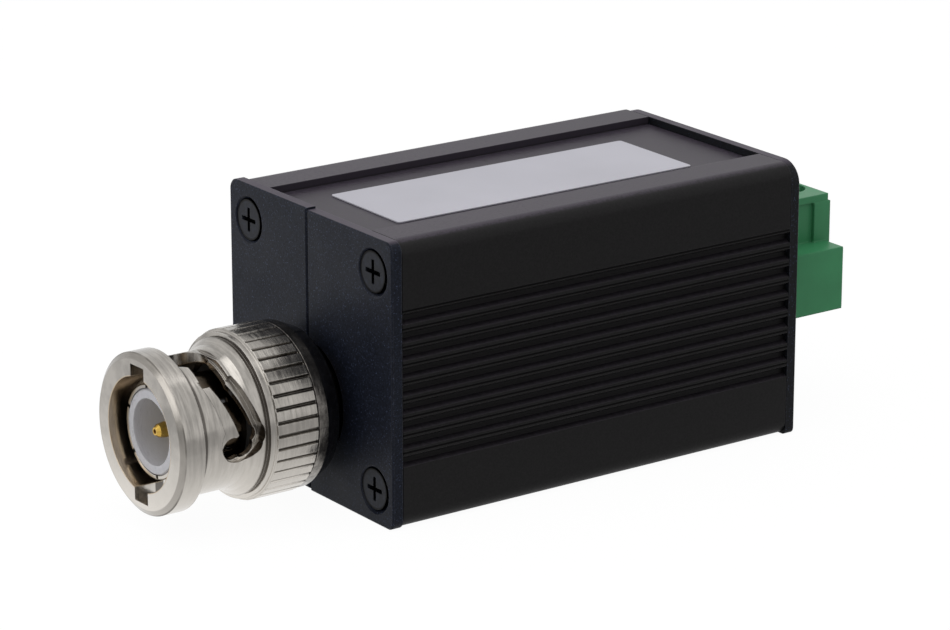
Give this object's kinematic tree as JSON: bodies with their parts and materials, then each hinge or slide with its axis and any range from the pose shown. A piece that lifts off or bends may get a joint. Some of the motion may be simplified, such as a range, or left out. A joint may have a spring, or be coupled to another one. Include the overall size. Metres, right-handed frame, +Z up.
{
  "type": "video balun",
  "caption": "Small ribbed aluminium video balun: bayonet coaxial plug in front, plug-in screw terminal for a twisted pair behind.",
  "frame": {"origin": "centre of the whole object's bounding box in X and Y, at the underside of the box in Z", "axes": "+Z up through the labelled top, +Y from the bayonet plug back to the screw terminal, +X to the right when the bayonet plug is seen from the front"},
  "size_m": [0.0244, 0.0686, 0.0249],
  "materials": {
    "anodised_body": "black anodised, satin",
    "plate": "dark anodised, satin, lightly scuffed",
    "black_screw": "dark plated, satin",
    "label_film": "silver-grey printed film, left blank",
    "nickel": "nickel plated brass, handled",
    "white_plastic": "translucent white, smooth",
    "gold": "gold plated",
    "seal_rubber": "matt",
    "steel": "plated, satin",
    "board": "green solder mask",
    "ferrite": "sintered, matt",
    "copper_wire": "enamelled copper, wound",
    "film_part": "moulded box, smooth",
    "chip_part": "matt",
    "arrester_body": "glazed",
    "terminal_plastic": "green moulded plastic",
    "tinned": "tin plated",
    "plated_clamp": "zinc plated"
  },
  "bodies": {
    "box": {"capacitor": "film_part", "centre_pin": "gold", "circuit_board": "board", "contact_sleeve": "nickel", "front_plate_left": "plate", "front_plate_right": "plate", "front_screw_1": "black_screw", "front_screw_2": "black_screw", "front_screw_3": "black_screw", "front_screw_4": "black_screw", "gasket": "seal_rubber", "header_pin_1": "tinned", "header_pin_2": "tinned", "housing": "anodised_body", "insulator": "white_plastic", "label": "label_film", "mounting_bush": "nickel", "nut_spring": "steel", "rear_plate": "plate", "rear_screw_1": "black_screw", "rear_screw_2": "black_screw", "rear_screw_3": "black_screw", "rear_screw_4": "black_screw", "resistor": "chip_part", "retaining_ring": "steel", "surge_arrester": "arrester_body", "terminal_header": "terminal_plastic", "transformer_core": "ferrite", "winding_primary": "copper_wire", "winding_secondary": "copper_wire"},
    "nut_carrier": {"thrust_washer": "steel"},
    "bayonet_nut": {"coupling_nut": "nickel"},
    "plug_block": {"terminal_plug": "terminal_plastic", "plug_contact_1": "tinned", "plug_contact_2": "tinned"},
    "clamp_one": {"clamp_screw_1": "plated_clamp"},
    "cage_one": {"clamp_cage_1": "plated_clamp"},
    "clamp_two": {"clamp_screw_2": "plated_clamp"},
    "cage_two": {"clamp_cage_2": "plated_clamp"}
  },
  "joints": [
    {"name": "nut_draw", "type": "slide", "parent": "box", "child": "nut_carrier", "axis": [0, -1, 0], "range_m": [0, 0.0012], "stiffness_N_per_m": 3000, "deforming": ["nut_spring"]},
    {"name": "nut_turn", "type": "hinge", "parent": "nut_carrier", "child": "bayonet_nut", "pos_m": [0, -0.02652, 0.0085], "axis": [0, 1, 0], "continuous": true},
    {"name": "plug_pull", "type": "slide", "parent": "box", "child": "plug_block", "axis": [0, 1, 0], "range_m": [0, 0.01]},
    {"name": "clamp_turn_one", "type": "hinge", "parent": "plug_block", "child": "clamp_one", "pos_m": [-0.00254, 0.03222, 0.0154], "axis": [0, 0, -1], "range_deg": [0, 1080.5]},
    {"name": "cage_lift_one", "type": "slide", "parent": "plug_block", "child": "cage_one", "axis": [0, 0, 1], "range_m": [0, 0.0012]},
    {"name": "clamp_turn_two", "type": "hinge", "parent": "plug_block", "child": "clamp_two", "pos_m": [0.00254, 0.03222, 0.0154], "axis": [0, 0, -1], "range_deg": [0, 1080.5]},
    {"name": "cage_lift_two", "type": "slide", "parent": "plug_block", "child": "cage_two", "axis": [0, 0, 1], "range_m": [0, 0.0012]}
  ],
  "couplings": [
    {"joint": "clamp_turn_one", "follows": "cage_lift_one", "rad_per_m": 15708},
    {"joint": "clamp_turn_two", "follows": "cage_lift_two", "rad_per_m": 15708}
  ]
}
